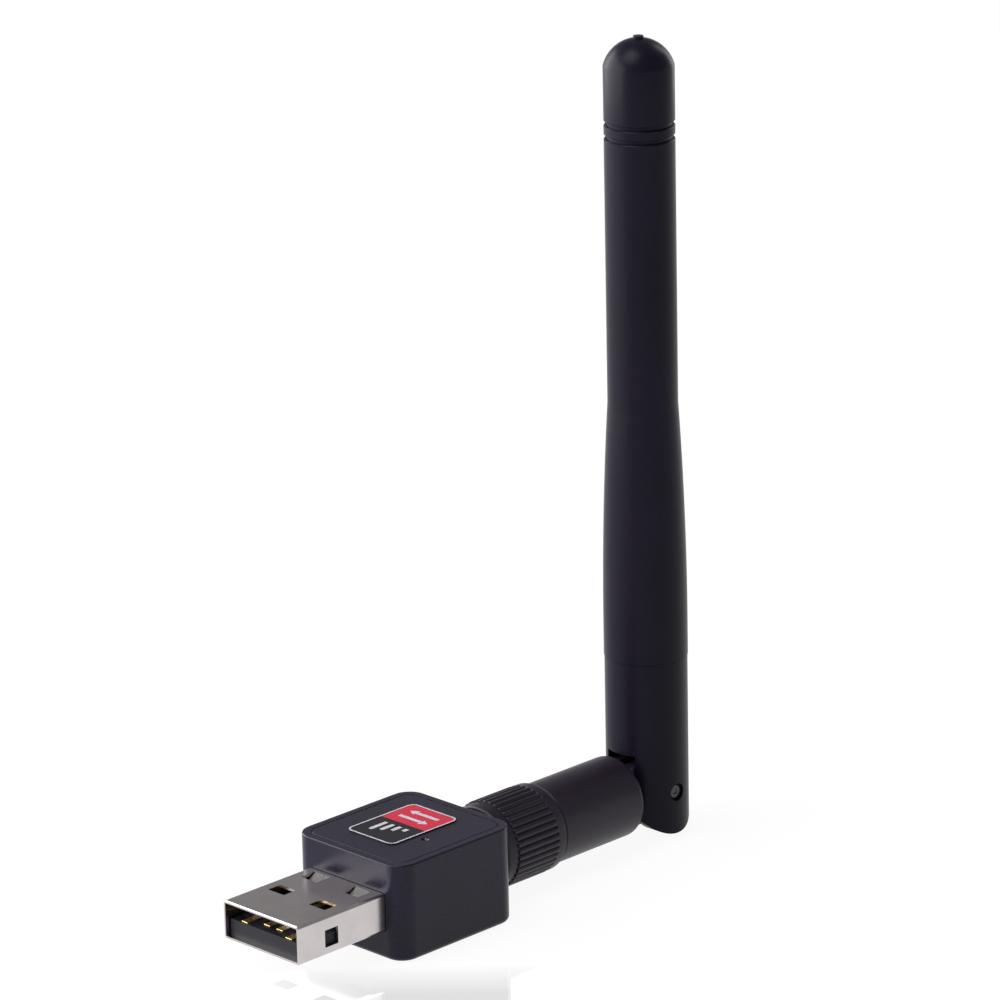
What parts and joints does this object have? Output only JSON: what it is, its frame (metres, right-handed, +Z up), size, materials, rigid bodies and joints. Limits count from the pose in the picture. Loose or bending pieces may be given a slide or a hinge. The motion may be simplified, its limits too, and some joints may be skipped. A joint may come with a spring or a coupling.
{
  "type": "usb wifi adapter",
  "caption": "Compact USB wireless adapter with a screw-on stick antenna that swivels and tilts on a hinge.",
  "frame": {"origin": "centre of the USB plug's section where it leaves the case's front face", "axes": "+X from the plug to the antenna, +Z up along the upright antenna, label side up; the plug points along -X"},
  "size_m": [0.0662, 0.017, 0.0944],
  "materials": {
    "case_plastic": "fine satin moulded texture",
    "label_film": "printed film, satin",
    "clear_plastic": "clear moulded",
    "plug_steel": "nickel plated, satin",
    "plug_insulator_plastic": "moulded",
    "gold_plating": "gold flash, smooth",
    "board_laminate": "solder mask",
    "chip_resin": "moulded resin",
    "crystal_can": "plated lid",
    "led_resin": "cast resin",
    "capacitor_ceramic": "fired ceramic",
    "white_insulator": "turned",
    "gasket_rubber": "moulded",
    "spring_steel": "plain",
    "cable_jacket": "extruded",
    "nut_brass": "machined",
    "antenna_plastic": "moulded, satin",
    "pin_plastic": "moulded",
    "radiator_brass": "drawn"
  },
  "bodies": {
    "adapter": {"lower_case": "case_plastic", "top_cover": "case_plastic", "top_label": "label_film", "led_light_pipe": "clear_plastic", "usb_shell": "plug_steel", "usb_insulator": "plug_insulator_plastic", "usb_contact_vbus": "gold_plating", "usb_contact_data_minus": "gold_plating", "usb_contact_data_plus": "gold_plating", "usb_contact_ground": "gold_plating", "circuit_board": "board_laminate", "wifi_chip": "chip_resin", "crystal": "crystal_can", "status_led": "led_resin", "voltage_regulator": "chip_resin", "chip_capacitors": "capacitor_ceramic", "chip_resistors": "chip_resin", "jack_body": "gold_plating", "jack_insulator": "white_insulator", "jack_centre_pin": "gold_plating"},
    "connector": {"plug_body": "gold_plating", "plug_gasket": "gasket_rubber", "plug_insulator": "white_insulator", "plug_centre_socket": "gold_plating", "snap_ring": "spring_steel", "coax_lower": "cable_jacket"},
    "screw_nut": {"coupling_nut": "nut_brass", "knurled_sleeve": "antenna_plastic"},
    "barrel": {"swivel_barrel": "antenna_plastic", "coax_bend": "cable_jacket"},
    "antenna": {"antenna_knuckle": "antenna_plastic", "hinge_pin_left": "pin_plastic", "hinge_pin_right": "pin_plastic", "radome": "antenna_plastic", "coax_upper": "cable_jacket", "radiator_sleeve": "radiator_brass", "radiator_wire": "radiator_brass"}
  },
  "joints": [
    {"name": "antenna_slide", "type": "slide", "parent": "adapter", "child": "connector", "axis": [1, 0, 0], "range_m": [0, 0.00635]},
    {"name": "nut_spin", "type": "hinge", "parent": "connector", "child": "screw_nut", "pos_m": [0.025, 0, 0], "axis": [1, 0, 0], "range_deg": [0, 3240]},
    {"name": "antenna_swivel", "type": "hinge", "parent": "connector", "child": "barrel", "pos_m": [0.0365, 0, 0], "axis": [1, 0, 0], "range_deg": [-180, 180]},
    {"name": "antenna_tilt", "type": "hinge", "parent": "barrel", "child": "antenna", "pos_m": [0.0483, 0, 0], "axis": [0, 1, 0], "range_deg": [0, 90], "deforming": ["coax_bend"]}
  ],
  "couplings": [
    {"joint": "nut_spin", "follows": "antenna_slide", "rad_per_m": 8905.2}
  ]
}
